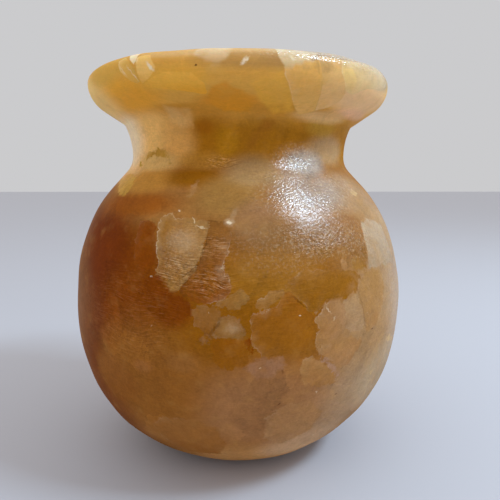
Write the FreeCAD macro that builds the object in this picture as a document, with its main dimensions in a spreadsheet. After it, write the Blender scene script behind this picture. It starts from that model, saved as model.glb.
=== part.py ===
import FreeCAD, Part
import Sketcher
import math
import os

# A globular vase, turned and carved in one piece from a block of honey calcite.
# It is round about Z and stands on its foot at z = 0, with the origin at the foot's centre.
# One closed outline of the wall, from the foot's centre up the outside, over the lip and
# down the inside, is turned once about Z. Belly, neck, rim and floor are one solid stone.

# Driving dimensions, in millimetres, and in degrees where the name ends in angle.
SIZES = {
    # The belly is an oval of three arcs: under, side and shoulder.
    "belly_diameter": 84.0,
    "belly_side_radius": 50.0,
    "belly_side_height": 34.2,
    "belly_under_radius": 35.4,
    "belly_shoulder_radius": 34.5,
    # The foot is a small flat with a worn edge.
    "foot_diameter": 32.0,
    "foot_edge_radius": 4.0,
    # The shoulder turns up into the neck over this width and this radius.
    "neck_diameter": 54.0,
    "neck_root_width": 4.55,
    "neck_root_radius": 5.4,
    # The neck hollows outward from its waist, then breaks at a crease into the flare.
    "neck_hollow_radius": 17.0,
    "neck_rise": 7.6,
    "crease_radius": 1.3,
    "flare_angle": 57.8,
    # The lip is full below and tighter above.
    "rim_overhang": 10.3,
    "lip_under_radius": 6.0,
    "lip_over_radius": 2.7,
    # The inside: a trumpet mouth, a straight bore, a hollow belly and a level floor.
    "mouth_radius": 12.0,
    "neck_wall": 6.0,
    "throat_radius": 4.0,
    "belly_wall": 7.0,
    "floor_thickness": 9.0,
    "floor_corner_radius": 8.0,
}

RIGHT_ANGLE = 90.0
START = 1
END = 2
CENTRE = 3
ORIGIN = (-1, START)


def side_of(hypotenuse, other_side):
    """The third side of a right-angled triangle."""
    return math.sqrt(hypotenuse ** 2 - other_side ** 2)


def add_sizes(document, sizes):
    """Puts every driving dimension in a sheet, one row each, under its own name."""
    sheet = document.addObject("Spreadsheet::Sheet", "Sizes")
    for row, (name, value) in enumerate(sizes.items(), start=1):
        sheet.set(f"A{row}", name)
        sheet.set(f"B{row}", str(value))
        sheet.setAlias(f"B{row}", name)
    document.recompute()
    return sheet


def outline_moves(size):
    """The wall's outline as moves: a name, a radius (none for a line), and the length or the turn.

    A positive turn is to the left. Each move leaves in the direction in which the last arrived.
    """
    waist = size("neck_diameter") / 2
    foot = size("foot_diameter") / 2
    side, under, shoulder = (size(f"belly_{part}_radius") for part in ("side", "under", "shoulder"))
    foot_edge = size("foot_edge_radius")
    side_turn = math.asin(size("belly_side_height") / 2 / side)
    side_centre = size("belly_diameter") / 2 - side

    # The under arc runs inside the foot's edge arc, which stands on the flat.
    under_centre = side_centre + (side - under) * math.cos(side_turn)
    under_height = foot_edge + side_of(under - foot_edge, foot - under_centre)
    foot_turn = math.asin((foot - under_centre) / (under - foot_edge))
    belly_height = under_height + (side - under) * math.sin(side_turn)

    # The shoulder arc ends where the neck's root begins.
    shoulder_centre = side_centre + (side - shoulder) * math.cos(side_turn)
    shoulder_height = belly_height + (side - shoulder) * math.sin(side_turn)
    root = size("neck_root_radius")
    root_width = size("neck_root_width")
    lean = math.acos((waist + root_width - shoulder_centre) / shoulder)
    slope = (root_width - root * (1 - math.cos(lean))) / math.sin(lean)
    waist_height = shoulder_height + (shoulder + root) * math.sin(lean) + slope * math.cos(lean)

    # Neck, crease and flare each bend the wall further out.
    hollow = size("neck_hollow_radius")
    crease = size("crease_radius")
    neck_turn = math.asin(size("neck_rise") / hollow)
    flare = math.radians(size("flare_angle"))
    flare_start = waist + hollow * (1 - math.cos(neck_turn))
    flare_start += crease * (math.cos(neck_turn) - math.cos(flare))
    lip_under = size("lip_under_radius")
    lip_over = size("lip_over_radius")
    rim = waist + size("rim_overhang")
    flare_length = (rim - lip_under * (1 - math.cos(flare)) - flare_start) / math.sin(flare)
    top = waist_height + size("neck_rise") + crease * (math.sin(flare) - math.sin(neck_turn))
    top += flare_length * math.cos(flare) + lip_under * math.sin(flare) + lip_over

    # Inside, the belly keeps one wall thickness, and the bore breaks into it over the throat.
    mouth = size("mouth_radius")
    throat = size("throat_radius")
    wall = size("belly_wall")
    bore = waist - size("neck_wall")
    throat_turn = math.acos((bore + throat - shoulder_centre) / (shoulder - wall + throat))
    throat_height = shoulder_height + (shoulder - wall + throat) * math.sin(throat_turn)
    corner = size("floor_corner_radius")
    floor = size("floor_thickness")
    floor_turn = math.asin((under_height - floor - corner) / (under - wall - corner))
    floor_width = under_centre + (under - wall - corner) * math.cos(floor_turn)

    quarter = math.radians(RIGHT_ANGLE)
    return [
        ("foot", None, foot),
        ("foot_edge", foot_edge, foot_turn),
        ("under", under, quarter - foot_turn - side_turn),
        ("side", side, 2 * side_turn),
        ("shoulder", shoulder, lean - side_turn),
        ("slope", None, slope),
        ("root", root, -lean),
        ("hollow", hollow, -neck_turn),
        ("crease", crease, neck_turn - flare),
        ("flare", None, flare_length),
        ("lip_under", lip_under, flare),
        ("lip_over", lip_over, quarter),
        ("lip_top", None, rim - lip_over - bore - mouth),
        ("mouth", mouth, quarter),
        ("bore", None, top - mouth - throat_height),
        ("throat", throat, throat_turn),
        ("inner_shoulder", shoulder - wall, side_turn - throat_turn),
        ("inner_side", side - wall, -2 * side_turn),
        ("inner_under", under - wall, side_turn - floor_turn),
        ("floor_corner", corner, floor_turn - quarter),
        ("floor", None, floor_width),
    ]


def draw(sketch, moves):
    """Draws the moves end to end, tangent where they meet, and closes the outline down the axis.

    Returns, by name, the curve's number in the sketch and the numbers of its first and last point.
    """
    curves = {}
    here = FreeCAD.Vector()
    heading = 0.0
    upright = FreeCAD.Vector(0, 0, 1)
    last = None
    for name, radius, amount in moves:
        if radius is None:
            there = here + FreeCAD.Vector(math.cos(heading), math.sin(heading)) * amount
            curve = Part.LineSegment(here, there)
            first_point, last_point = START, END
        else:
            side = math.copysign(1, amount)
            outward = FreeCAD.Vector(math.sin(heading), -math.cos(heading)) * side
            centre = here - outward * radius
            begin = math.atan2(outward.y, outward.x)
            heading += amount
            there = centre + FreeCAD.Vector(math.sin(heading), -math.cos(heading)) * side * radius
            low, high = sorted((begin, begin + amount))
            curve = Part.ArcOfCircle(Part.Circle(centre, upright, radius), low, high)
            first_point, last_point = (START, END) if amount > 0 else (END, START)
        number = sketch.addGeometry(curve, False)
        curves[name] = (number, first_point, last_point)
        if last is not None:
            sketch.addConstraint(Sketcher.Constraint("Tangent", *last, number, first_point))
        last = (number, last_point)
        here = there
    axis = sketch.addGeometry(Part.LineSegment(here, FreeCAD.Vector()), False)
    curves["axis"] = (axis, START, END)
    sketch.addConstraint(Sketcher.Constraint("Coincident", *last, axis, START))
    sketch.addConstraint(Sketcher.Constraint("Coincident", axis, END, *ORIGIN))
    sketch.addConstraint(Sketcher.Constraint("Coincident", curves["foot"][0], START, *ORIGIN))
    return curves


def bind(sketch, constraint, name, formula):
    """Adds a dimension to the sketch and ties it to the sheet."""
    number = sketch.addConstraint(constraint)
    sketch.renameConstraint(number, name)
    sketch.setExpression(f"Constraints.{name}", formula)


def dimension(sketch, curves):
    """Ties the outline's radii and places to the sheet, until nothing in it is free."""
    radii = {
        "foot_edge": "Sizes.foot_edge_radius",
        "under": "Sizes.belly_under_radius",
        "side": "Sizes.belly_side_radius",
        "shoulder": "Sizes.belly_shoulder_radius",
        "root": "Sizes.neck_root_radius",
        "hollow": "Sizes.neck_hollow_radius",
        "crease": "Sizes.crease_radius",
        "lip_under": "Sizes.lip_under_radius",
        "lip_over": "Sizes.lip_over_radius",
        "mouth": "Sizes.mouth_radius",
        "throat": "Sizes.throat_radius",
        "inner_side": "Sizes.belly_side_radius - Sizes.belly_wall",
        "floor_corner": "Sizes.floor_corner_radius",
    }
    for name, formula in radii.items():
        number = curves[name][0]
        radius = sketch.Geometry[number].Radius
        bind(sketch, Sketcher.Constraint("Radius", number, radius), f"{name}_radius", formula)

    def from_axis(name, curve, point, formula):
        place = sketch.getPoint(curve, point).x
        constraint = Sketcher.Constraint("DistanceX", *ORIGIN, curve, point, place)
        bind(sketch, constraint, name, formula)

    def rise(name, low, high, formula):
        height = sketch.getPoint(*high).y - sketch.getPoint(*low).y
        bind(sketch, Sketcher.Constraint("DistanceY", *low, *high, height), name, formula)

    for name in ("foot", "lip_top", "floor"):
        sketch.addConstraint(Sketcher.Constraint("Horizontal", curves[name][0]))
    for name in ("bore", "axis"):
        sketch.addConstraint(Sketcher.Constraint("Vertical", curves[name][0]))
    for name in ("root", "lip_under"):
        number, _, last_point = curves[name]
        sketch.addConstraint(Sketcher.Constraint("Horizontal", number, CENTRE, number, last_point))
    for name in ("under", "side", "shoulder"):
        outer = curves[name][0]
        inner = curves[f"inner_{name}"][0]
        sketch.addConstraint(Sketcher.Constraint("Coincident", inner, CENTRE, outer, CENTRE))

    from_axis("foot_width", curves["foot"][0], END, "Sizes.foot_diameter / 2")
    side = curves["side"][0]
    from_axis("belly_width", side, CENTRE, "Sizes.belly_diameter / 2 - Sizes.belly_side_radius")
    rise("side_below", (side, START), (side, CENTRE), "Sizes.belly_side_height / 2")
    rise("side_above", (side, CENTRE), (side, END), "Sizes.belly_side_height / 2")
    root_formula = "Sizes.neck_diameter / 2 + Sizes.neck_root_width"
    from_axis("root_place", curves["slope"][0], START, root_formula)
    root, _, waist_point = curves["root"]
    from_axis("waist_width", root, waist_point, "Sizes.neck_diameter / 2")
    hollow, hollow_start, hollow_end = curves["hollow"]
    rise("hollow_rise", (hollow, hollow_start), (hollow, hollow_end), "Sizes.neck_rise")
    flare = curves["flare"][0]
    tilt = math.radians(RIGHT_ANGLE) - math.radians(SIZES["flare_angle"])
    flare_formula = f"({RIGHT_ANGLE} - Sizes.flare_angle) * 1 deg"
    bind(sketch, Sketcher.Constraint("Angle", flare, tilt), "flare_tilt", flare_formula)
    rim_formula = "Sizes.neck_diameter / 2 + Sizes.rim_overhang"
    from_axis("rim_width", curves["lip_under"][0], END, rim_formula)
    bore_formula = "Sizes.neck_diameter / 2 - Sizes.neck_wall"
    from_axis("bore_width", curves["bore"][0], START, bore_formula)
    rise("floor_height", ORIGIN, (curves["floor"][0], START), "Sizes.floor_thickness")


def origin_plane(body, role):
    """One of the body's own three planes."""
    return next(feature for feature in body.Origin.OriginFeatures if feature.Role == role)


def make_stone_vase(document, size):
    """The whole vase: the wall's outline, turned once about the upright axis."""
    body = document.addObject("PartDesign::Body", "stone_vase")
    body.Label = "stone_vase"
    sketch = body.newObject("Sketcher::SketchObject", "WallOutline")
    sketch.AttachmentSupport = [(origin_plane(body, "XZ_Plane"), "")]
    sketch.MapMode = "FlatFace"
    document.recompute()
    dimension(sketch, draw(sketch, outline_moves(size)))
    document.recompute()
    stone = body.newObject("PartDesign::Revolution", "TurnedStone")
    stone.Profile = sketch
    stone.ReferenceAxis = (sketch, ["V_Axis"])
    stone.Angle = 4 * RIGHT_ANGLE
    body.Tip = stone
    return body, sketch


def check(document, body, sketch):
    """Stops with a plain message if anything failed, came out open or is still free to move."""
    for item in document.Objects:
        if "Invalid" in item.State or "Error" in item.State:
            raise RuntimeError(f"{item.Label} failed: {item.State}")
    if not sketch.FullyConstrained:
        raise RuntimeError("the wall's outline is not fully dimensioned")
    shape = body.Shape
    if shape.isNull() or not shape.isValid() or len(shape.Solids) != 1:
        raise RuntimeError("the vase is not one valid solid")


document = FreeCAD.newDocument("StoneVase")
sheet = add_sizes(document, SIZES)
vase, wall_outline = make_stone_vase(document, lambda name: float(getattr(sheet, name)))
document.recompute()
check(document, vase, wall_outline)

box = vase.Shape.BoundBox
print(f"height {box.ZLength:.2f} mm, width {box.XLength:.2f} mm, volume {vase.Shape.Volume / 1000:.1f} cm3")
os.makedirs("parts", exist_ok=True)
vase.Shape.exportStep(os.path.join("parts", f"{vase.Label}.step"))
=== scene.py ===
# %% [markdown]
# # A vase of honey calcite
#
# The real vase is one piece of banded calcite, the stone that is sold as Egyptian alabaster.
# It was turned and carved from a block, hollowed through the neck, and sanded and waxed by hand.
# Everything that the eye enjoys here is in the stone: large angular crystals that catch the
# light one by one, zones of cream, amber and rust, fine sanding scratches, and a satin gloss.
# So this lesson has one mesh, turned like a pot, and most of its steps are about the stone.

# %% Load the frame
import math

import bpy
import numpy as np
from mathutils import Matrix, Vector


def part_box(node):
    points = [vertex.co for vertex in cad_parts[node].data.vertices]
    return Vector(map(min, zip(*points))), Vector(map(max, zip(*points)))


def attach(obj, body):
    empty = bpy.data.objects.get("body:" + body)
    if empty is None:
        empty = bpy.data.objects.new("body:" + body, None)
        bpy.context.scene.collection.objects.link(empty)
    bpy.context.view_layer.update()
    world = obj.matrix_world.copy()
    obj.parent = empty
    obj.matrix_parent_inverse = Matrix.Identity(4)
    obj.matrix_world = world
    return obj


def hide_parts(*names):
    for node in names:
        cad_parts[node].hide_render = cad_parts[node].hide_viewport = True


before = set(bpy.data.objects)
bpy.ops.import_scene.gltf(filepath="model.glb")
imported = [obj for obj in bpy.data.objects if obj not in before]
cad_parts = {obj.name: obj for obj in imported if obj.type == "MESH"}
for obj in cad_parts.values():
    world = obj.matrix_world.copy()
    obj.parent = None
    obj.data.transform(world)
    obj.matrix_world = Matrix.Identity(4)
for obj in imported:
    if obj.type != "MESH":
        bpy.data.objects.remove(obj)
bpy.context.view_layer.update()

NODE = "stone_vase"
low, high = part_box(NODE)
print("the solid stands from", round(low.z, 4), "to", round(high.z, 4), "m")

# %% [markdown]
# ## Units and colours
#
# Stone work is measured in millimetres, and Blender's scene is in metres, so lengths below are
# in millimetres and are multiplied once. Colours are written as sRGB hex, the way a paint chart
# gives them, and one function turns them into the linear light that shaders add and multiply.

# %% Units and colours
MM = 0.001
FULL_TURN = 360.0
BYTE = 255.0


def linear(hex_colour):
    """An sRGB hex colour as linear red, green, blue and alpha."""
    parts = np.array([int(hex_colour[i:i + 2], 16) for i in (1, 3, 5)]) / BYTE
    lit = np.where(parts <= 0.04045, parts / 12.92, ((parts + 0.055) / 1.055) ** 2.4)
    return (*lit.tolist(), 1.0)


print("mid honey in linear light:", [round(c, 3) for c in linear("#96601a")])

# %% [markdown]
# ## Camera
#
# The picture is taken from close by, about one vase height from the nearest stone and
# below the rim, so the rim looks wide and its flat top can't be seen. A near camera must not
# be swapped for a far one with a longer lens, because the belly would lose its roundness.
# The vase stands left of the middle, which is a small turn of the camera and not a shift.

# %% Camera
FRAME_PIXELS = 500.0
AXIS_PIXEL = 239.0
SENSOR_WIDTH = 36.0
FOCAL_LENGTH = 36.0
CAMERA_DISTANCE = 134.2
CAMERA_HEIGHT = 68.8
CAMERA_DOWN = 7.9
NEAREST_SEEN = 10.0

camera_data = bpy.data.cameras.new("camera")
camera_data.sensor_width = SENSOR_WIDTH
camera_data.lens = FOCAL_LENGTH
camera_data.clip_start = NEAREST_SEEN * MM
camera_data.dof.use_dof = False
camera = bpy.data.objects.new("camera", camera_data)
bpy.context.scene.collection.objects.link(camera)
focal_pixels = FRAME_PIXELS * FOCAL_LENGTH / SENSOR_WIDTH
camera_right = math.atan((FRAME_PIXELS / 2 - AXIS_PIXEL) / focal_pixels)
camera.location = (0, -CAMERA_DISTANCE * MM, CAMERA_HEIGHT * MM)
camera.rotation_euler = (math.radians(90 - CAMERA_DOWN), 0, -camera_right)
bpy.context.scene.camera = camera
bpy.context.scene.view_settings.view_transform = "Standard"
print("camera turned right by", round(math.degrees(camera_right), 2), "degrees")

# %% [markdown]
# ## Nodes in one line each
#
# The room and the stone are trees of nodes. One helper adds a node, sets its option and links
# what comes from other nodes, so that a recipe reads from top to bottom like a list. Inputs
# are given in their order or by name; a node given as an input means its first output.

# %% One helper for nodes
MIX_FACTOR = 0
MIX_A = 6
MIX_B = 7
MIX_COLOUR = 2
OPTIONS = {
    "Math": "operation", "VectorMath": "operation", "MapRange": "interpolation_type",
    "TexVoronoi": "feature", "Mapping": "vector_type", "Mix": "data_type", "Attribute": "attribute_name",
}


def add(kind, inputs=(), option=None):
    """Adds a node to the tree at hand: inputs are values, sockets or nodes, the option is its own."""
    made = tree.nodes.new("ShaderNode" + kind)
    if option:
        setattr(made, OPTIONS[kind], option)
    if not isinstance(inputs, dict):
        inputs = dict(enumerate(inputs))
    for place, value in inputs.items():
        if isinstance(value, bpy.types.Node):
            value = value.outputs[0]
        if isinstance(value, bpy.types.NodeSocket):
            tree.links.new(value, made.inputs[place])
        else:
            made.inputs[place].default_value = value
    return made


print("kinds of node with an option:", list(OPTIONS))

# %% [markdown]
# ## Floor, background and light
#
# The stage is plain: a wide pale floor and a pale room. The room's light is even and soft.
# One soft lamp, nearly twice as wide as it is high, stands up on the right and a little in
# front. Its place was worked out backwards, from the bright patch on the right shoulder: a
# highlight sits where the surface turns the line of sight towards the lamp. What the camera
# and the gloss see of the room is a little darker than the light that it gives.

# %% Floor
FLOOR_WIDTH = 6000.0
floor_mesh = bpy.data.meshes.new("floor")
half_floor = FLOOR_WIDTH / 2 * MM
floor_mesh.from_pydata(
    [(x, y, 0) for x, y in ((-1, -1), (1, -1), (1, 1), (-1, 1))], [], [(0, 1, 2, 3)]
)
floor = bpy.data.objects.new("floor", floor_mesh)
floor.scale = (half_floor, half_floor, 1)
bpy.context.scene.collection.objects.link(floor)

floor_paint = bpy.data.materials.new("pale matt floor")
floor_paint.use_nodes = True
floor_shader = floor_paint.node_tree.nodes["Principled BSDF"]
floor_shader.inputs["Base Color"].default_value = linear("#c2c2c8")
floor_shader.inputs["Roughness"].default_value = 0.8
floor_mesh.materials.append(floor_paint)
print("floor:", FLOOR_WIDTH * MM, "m wide")

# %% Room light
ROOM_LEVEL = 0.9
BACKGROUND_LEVEL = 0.66
world = bpy.data.worlds.new("room")
world.use_nodes = True
bpy.context.scene.world = world
tree = world.node_tree
tree.nodes.clear()
ray = add("LightPath").outputs
seen = ray["Is Camera Ray"]
for other in ("Is Glossy Ray", "Is Transmission Ray"):
    seen = add("Math", (seen, ray[other]), "MAXIMUM")
level = add("MapRange", (seen, 0.0, 1.0, ROOM_LEVEL, BACKGROUND_LEVEL))
air = add("Background", {"Color": linear("#f4f4f6"), "Strength": level})
add("OutputWorld", {"Surface": air})
print("room:", len(tree.nodes), "nodes")

# %% Lamp
LAMP_AIM = (14.0, -30.0, 64.0)
LAMP_TOWARDS = (0.64, -0.2, 0.75)
LAMP_DISTANCE = 600.0
LAMP_WIDTH = 190.0
LAMP_HEIGHT = 100.0
LAMP_WATTS = 2.6
lamp_data = bpy.data.lights.new("soft lamp", "AREA")
lamp_data.shape = "RECTANGLE"
lamp_data.size = LAMP_WIDTH * MM
lamp_data.size_y = LAMP_HEIGHT * MM
lamp_data.energy = LAMP_WATTS
lamp_data.color = linear("#cfe9ff")[:3]
lamp = bpy.data.objects.new("soft lamp", lamp_data)
bpy.context.scene.collection.objects.link(lamp)
towards = Vector(LAMP_TOWARDS).normalized()
lamp.location = (Vector(LAMP_AIM) + towards * LAMP_DISTANCE) * MM
lamp.rotation_euler = towards.to_track_quat("Z", "Y").to_euler()
print("lamp at", [round(v, 3) for v in lamp.location], "m")

# %% [markdown]
# ## The wall's outline
#
# A turner thinks of a vase as its outline: a few tangent arcs, drawn from the foot's centre up
# the outside, over the lip and down the inside to the floor. The same sizes as the solid's are
# used here, so that the modelled wall lies on the solid's wall. Each move is a name, a radius
# (none for a straight run) and a length in millimetres or a turn in radians, left positive.

# %% Sizes of the vase
SIZES = {
    "belly_diameter": 84.0,
    "belly_side_radius": 50.0,
    "belly_side_height": 34.2,
    "belly_under_radius": 35.4,
    "belly_shoulder_radius": 34.5,
    "foot_diameter": 32.0,
    "foot_edge_radius": 4.0,
    "neck_diameter": 54.0,
    "neck_root_width": 4.55,
    "neck_root_radius": 5.4,
    "neck_hollow_radius": 17.0,
    "neck_rise": 7.6,
    "crease_radius": 1.3,
    "flare_angle": 57.8,
    "rim_overhang": 10.3,
    "lip_under_radius": 6.0,
    "lip_over_radius": 2.7,
    "mouth_radius": 12.0,
    "neck_wall": 6.0,
    "throat_radius": 4.0,
    "belly_wall": 7.0,
    "floor_thickness": 9.0,
    "floor_corner_radius": 8.0,
}
QUARTER = math.pi / 2


def outline_moves(size):
    """The outline's moves, in order, from the foot's centre round to the middle of the floor."""
    waist = size["neck_diameter"] / 2
    foot = size["foot_diameter"] / 2
    side, under, shoulder = (size[f"belly_{part}_radius"] for part in ("side", "under", "shoulder"))
    foot_edge = size["foot_edge_radius"]
    side_turn = math.asin(size["belly_side_height"] / 2 / side)
    side_centre = size["belly_diameter"] / 2 - side

    # The under arc runs inside the foot's edge arc, which stands on the flat.
    under_centre = side_centre + (side - under) * math.cos(side_turn)
    under_height = foot_edge + math.sqrt((under - foot_edge) ** 2 - (foot - under_centre) ** 2)
    foot_turn = math.asin((foot - under_centre) / (under - foot_edge))
    belly_height = under_height + (side - under) * math.sin(side_turn)

    # The shoulder arc ends where the neck's root begins.
    shoulder_centre = side_centre + (side - shoulder) * math.cos(side_turn)
    shoulder_height = belly_height + (side - shoulder) * math.sin(side_turn)
    root = size["neck_root_radius"]
    root_width = size["neck_root_width"]
    lean = math.acos((waist + root_width - shoulder_centre) / shoulder)
    slope = (root_width - root * (1 - math.cos(lean))) / math.sin(lean)
    waist_height = shoulder_height + (shoulder + root) * math.sin(lean) + slope * math.cos(lean)

    # Neck, crease and flare each bend the wall further out.
    hollow = size["neck_hollow_radius"]
    crease = size["crease_radius"]
    neck_turn = math.asin(size["neck_rise"] / hollow)
    flare = math.radians(size["flare_angle"])
    flare_start = waist + hollow * (1 - math.cos(neck_turn))
    flare_start += crease * (math.cos(neck_turn) - math.cos(flare))
    lip_under, lip_over = size["lip_under_radius"], size["lip_over_radius"]
    rim = waist + size["rim_overhang"]
    flare_length = (rim - lip_under * (1 - math.cos(flare)) - flare_start) / math.sin(flare)
    top = waist_height + size["neck_rise"] + crease * (math.sin(flare) - math.sin(neck_turn))
    top += flare_length * math.cos(flare) + lip_under * math.sin(flare) + lip_over

    # Inside, the belly keeps one wall thickness, and the bore breaks into it over the throat.
    mouth, throat, wall = size["mouth_radius"], size["throat_radius"], size["belly_wall"]
    bore = waist - size["neck_wall"]
    throat_turn = math.acos((bore + throat - shoulder_centre) / (shoulder - wall + throat))
    throat_height = shoulder_height + (shoulder - wall + throat) * math.sin(throat_turn)
    corner, ground = size["floor_corner_radius"], size["floor_thickness"]
    floor_turn = math.asin((under_height - ground - corner) / (under - wall - corner))
    floor_width = under_centre + (under - wall - corner) * math.cos(floor_turn)
    return [
        ("foot", None, foot),
        ("foot_edge", foot_edge, foot_turn),
        ("under", under, QUARTER - foot_turn - side_turn),
        ("side", side, 2 * side_turn),
        ("shoulder", shoulder, lean - side_turn),
        ("slope", None, slope),
        ("root", root, -lean),
        ("hollow", hollow, -neck_turn),
        ("crease", crease, neck_turn - flare),
        ("flare", None, flare_length),
        ("lip_under", lip_under, flare),
        ("lip_over", lip_over, QUARTER),
        ("lip_top", None, rim - lip_over - bore - mouth),
        ("mouth", mouth, QUARTER),
        ("bore", None, top - mouth - throat_height),
        ("throat", throat, throat_turn),
        ("inner_shoulder", shoulder - wall, side_turn - throat_turn),
        ("inner_side", side - wall, -2 * side_turn),
        ("inner_under", under - wall, side_turn - floor_turn),
        ("floor_corner", corner, floor_turn - QUARTER),
        ("floor", None, floor_width),
    ]


# %% [markdown]
# The moves are then walked in small steps, as a turtle would walk them. Where the eye looks,
# the steps are fine enough for small chips; inside, where it is dark, they may be longer.

# %% Walk the outline
OUTSIDE_STEP = 0.75
INSIDE_STEP = 1.6
FOOT_STEP = 2.0


def walk(moves):
    """Radius, height, heading and distance walked along the outline, and where the inside begins."""
    radius, height, heading, walked = 0.0, 0.0, 0.0, 0.0
    rows = [(radius, height, heading, walked)]
    inside_from = None
    for name, arc, amount in moves:
        if name == "mouth":
            inside_from = walked
        length = abs(amount) * (arc or 1.0)
        step = OUTSIDE_STEP if inside_from is None else INSIDE_STEP
        if name == "foot":
            step = FOOT_STEP
        parts = max(1, round(length / step))
        for _ in range(parts):
            turn = amount / parts if arc else 0.0
            piece = length / parts
            chord = piece if not arc else 2 * arc * math.sin(abs(turn) / 2)
            radius += chord * math.cos(heading + turn / 2)
            height += chord * math.sin(heading + turn / 2)
            heading += turn
            walked += piece
            rows.append((radius, height, heading, walked))
    return np.array(rows).T, inside_from


(out_r, out_z, out_heading, out_path), inside_from = walk(outline_moves(SIZES))
print("outline:", len(out_r), "points,", round(float(out_path[-1]), 1), "mm")
print("top of the rim:", round(float(out_z.max()), 3), "mm")

# %% [markdown]
# ## Turning the vase
#
# The outline is turned about the axis into rings of points, as on a lathe, but the real vase is
# hand work: it is not quite round, the rim is tilted by nearly half a degree, the lower belly
# leans to the left by less than half a millimetre, the boring tool left rings inside, and the
# lip has small chips. All of that is moved in the points, because a shape that shows on the
# edge of the object must be in the mesh and not only in the shading.

# %% Rings of points
SEGMENTS = 384
inner = out_path > inside_from
azimuth = np.radians(np.arange(SEGMENTS) * FULL_TURN / SEGMENTS - FULL_TURN / 2)
on_rings = (out_r, out_z, out_path, inner, np.sin(out_heading), -np.cos(out_heading))
on_rings = [np.repeat(values[1:-1, None], SEGMENTS, 1) for values in on_rings]
ring_r, ring_z, ring_path, ring_inner, outward_r, outward_z = on_rings
ring_turn = np.repeat(azimuth[None, :], len(out_r) - 2, 0)
print("points on the rings:", ring_r.size)


def ease(value, start, end):
    """0 before start, 1 after end, and smooth between."""
    share = np.clip((value - start) / (end - start), 0, 1)
    return share * share * (3 - 2 * share)


# %% Hand work
HAND_WAVES = 9
WAVE_DEPTH = 0.09
STROKE_WAVES = 12
STROKE_DEPTH = 0.022
ABOVE_GROUND = (0.3, 6.0)
RIM_TILT = 0.45
TILT_FROM = (70, 88)
BELLY_LEAN = 0.4
LEAN_FROM = (2, 12)
LEAN_TO = (26, 46)
TOOL_RING = 2.3
TOOL_DEPTH = 0.14
TOOL_WOBBLE = 0.7
TOOL_FROM = (8, 20)
CHIPS = 46
CHIP_ALONG = (-2.4, 2.0)
CHIP_SIZES = (0.5, 1.6)
CHIP_DEPTHS = (0.08, 0.2)
CHIP_STRETCH = (0.5, 1.0)
CHIP_SLOPE = (0.25, 1.0)
SEED = 11
chance = np.random.RandomState(SEED)


def waves(count, depth, lobes, lengths):
    """Smooth unevenness: a sum of waves, with a whole number of lobes round and a length up."""
    total = np.zeros_like(ring_r)
    for _ in range(count):
        round_it = chance.randint(lobes[0], lobes[1] + 1)
        length = chance.uniform(*lengths)
        phase, drift = chance.uniform(0, 2 * math.pi, 2)
        up_it = np.sin(2 * math.pi * ring_path / length + drift)
        total += np.sin(round_it * ring_turn + phase) * up_it
    return total * depth


def chips_on_lip(count):
    """How far small chips along the lip's edge go in, in millimetres."""
    lip = out_path[np.argmax(out_r)] + SIZES["lip_over_radius"]
    total = np.zeros_like(ring_r)
    for _ in range(count):
        where = chance.uniform(-math.pi, math.pi)
        along = lip + chance.uniform(*CHIP_ALONG)
        size = chance.uniform(*CHIP_SIZES)
        deep = size * chance.uniform(*CHIP_DEPTHS)
        across = (ring_turn - where + math.pi) % (2 * math.pi) - math.pi
        across = across * ring_r * chance.uniform(*CHIP_STRETCH)
        gap = np.hypot(across, ring_path - along) / size
        total = np.maximum(total, deep * (1 - ease(gap, *CHIP_SLOPE)))
    return total


uneven = waves(HAND_WAVES, WAVE_DEPTH, lobes=(2, 4), lengths=(45, 110))
uneven += waves(STROKE_WAVES, STROKE_DEPTH, lobes=(7, 17), lengths=(12, 26))
uneven *= np.where(ring_inner, 1.0, ease(ring_z, *ABOVE_GROUND))
tool_turn = 2 * math.pi * ring_path / TOOL_RING + TOOL_WOBBLE * np.sin(ring_turn)
tool_marks = TOOL_DEPTH * np.sin(tool_turn) * ease(ring_path - inside_from, *TOOL_FROM)
uneven += np.where(ring_inner, tool_marks, 0.0)
uneven -= chips_on_lip(CHIPS)
ring_r = ring_r + uneven * outward_r
ring_z = ring_z + uneven * outward_z
ring_x = ring_r * np.sin(ring_turn)
ring_y = -ring_r * np.cos(ring_turn)
leaning = ease(ring_z, *LEAN_FROM) * (1 - ease(ring_z, *LEAN_TO)) * ~ring_inner
ring_x = ring_x - BELLY_LEAN * leaning
ring_z = ring_z - ring_x * math.tan(math.radians(RIM_TILT)) * ease(ring_z, *TILT_FROM)
print("unevenness from", round(float(uneven.min()), 2), "to", round(float(uneven.max()), 2), "mm")

# %% Mesh of the vase


def turned_mesh(name, x, y, z, lowest, floor_height):
    """Joins rings of points into a closed skin, with a last point at either end of the outline."""
    rows, columns = x.shape
    points = np.column_stack([x.ravel(), y.ravel(), z.ravel()])
    points = np.vstack([points, [(0, 0, lowest), (0, 0, floor_height)]]) * MM
    row = np.arange(rows - 1)[:, None] * columns
    here = np.arange(columns)[None, :]
    beside = (here + 1) % columns
    quads = np.stack([row + here, row + beside, row + columns + beside, row + columns + here], -1)
    last = (rows - 1) * columns
    foot, ground = rows * columns, rows * columns + 1
    fan = [(foot, int(b), int(a)) for a, b in zip(here[0], beside[0])]
    fan += [(ground, last + int(a), last + int(b)) for a, b in zip(here[0], beside[0])]
    mesh = bpy.data.meshes.new(name)
    mesh.from_pydata(points.tolist(), [], quads.reshape(-1, 4).tolist() + fan)
    mesh.shade_smooth()
    return mesh


vase_mesh = turned_mesh("vase", ring_x, ring_y, ring_z, 0.0, SIZES["floor_thickness"])
vase = bpy.data.objects.new("vase", vase_mesh)
bpy.context.scene.collection.objects.link(vase)
triangles = sum(len(p.vertices) - 2 for p in vase_mesh.polygons)
print("faces:", len(vase_mesh.polygons), "triangles:", triangles)

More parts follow.
